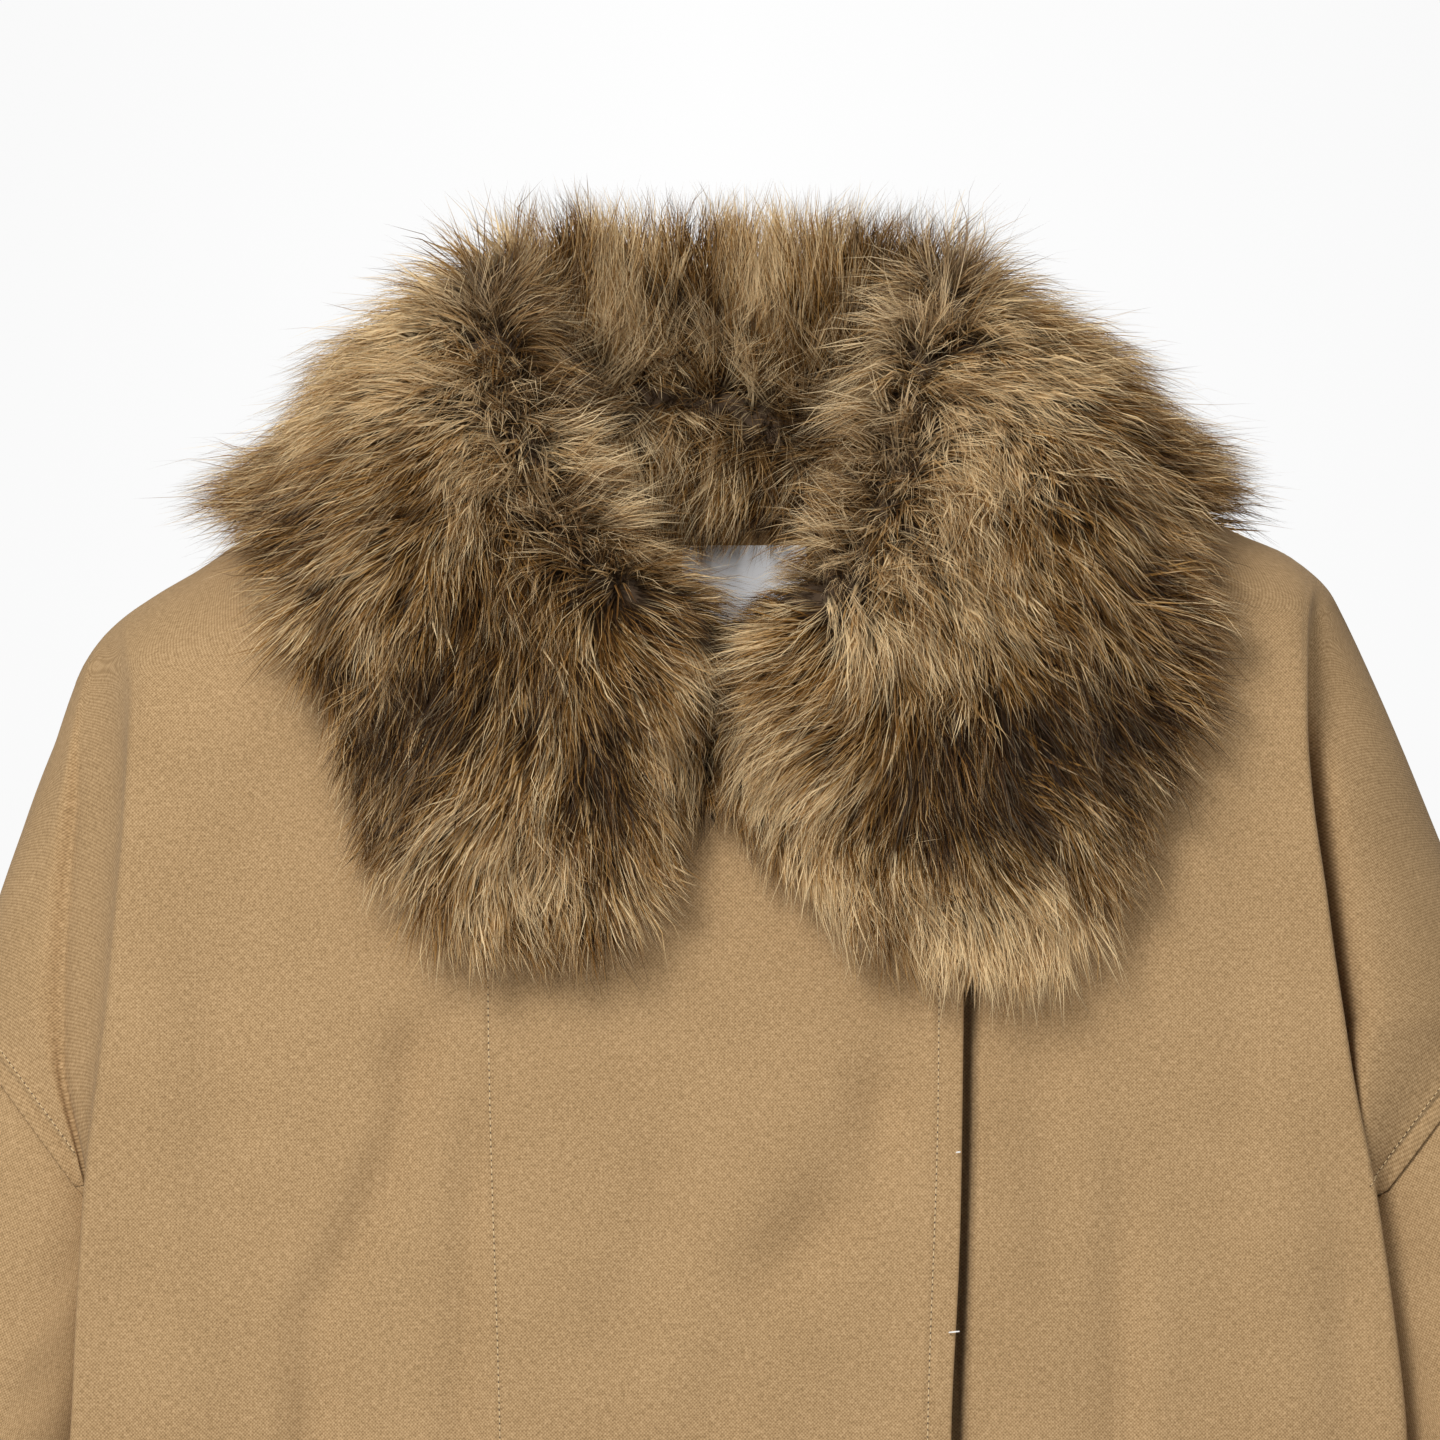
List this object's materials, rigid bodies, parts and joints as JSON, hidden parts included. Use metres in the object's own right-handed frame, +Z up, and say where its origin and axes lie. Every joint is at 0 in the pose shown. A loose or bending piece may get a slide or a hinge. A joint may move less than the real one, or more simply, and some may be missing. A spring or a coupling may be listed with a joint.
{
  "type": "bomber jacket",
  "caption": "Oversized tan cotton bomber jacket with dropped shoulders, a wide plain wrap front and a large brown faux-fur collar, hanging empty.",
  "frame": {"origin": "middle of the neck opening at the level where the shoulders hold the garment, half way between front and back", "axes": "+Z up, front towards -Y, the wearer's left towards +X"},
  "size_m": [0.8214, 0.2185, 0.7439],
  "materials": {
    "cotton": "matte plain weave, tan",
    "faux_fur": "long pile, mottled golden tan to dark brown",
    "label_satin": "woven satin, white, bare"
  },
  "bodies": {
    "root": {"front_right": "cotton", "front_left": "cotton", "back": "cotton", "sleeve_right": "cotton", "sleeve_left": "cotton", "cuff_right": "cotton", "cuff_left": "cotton", "hem_band": "cotton", "fur_collar": "faux_fur", "label": "label_satin"}
  },
  "joints": []
}
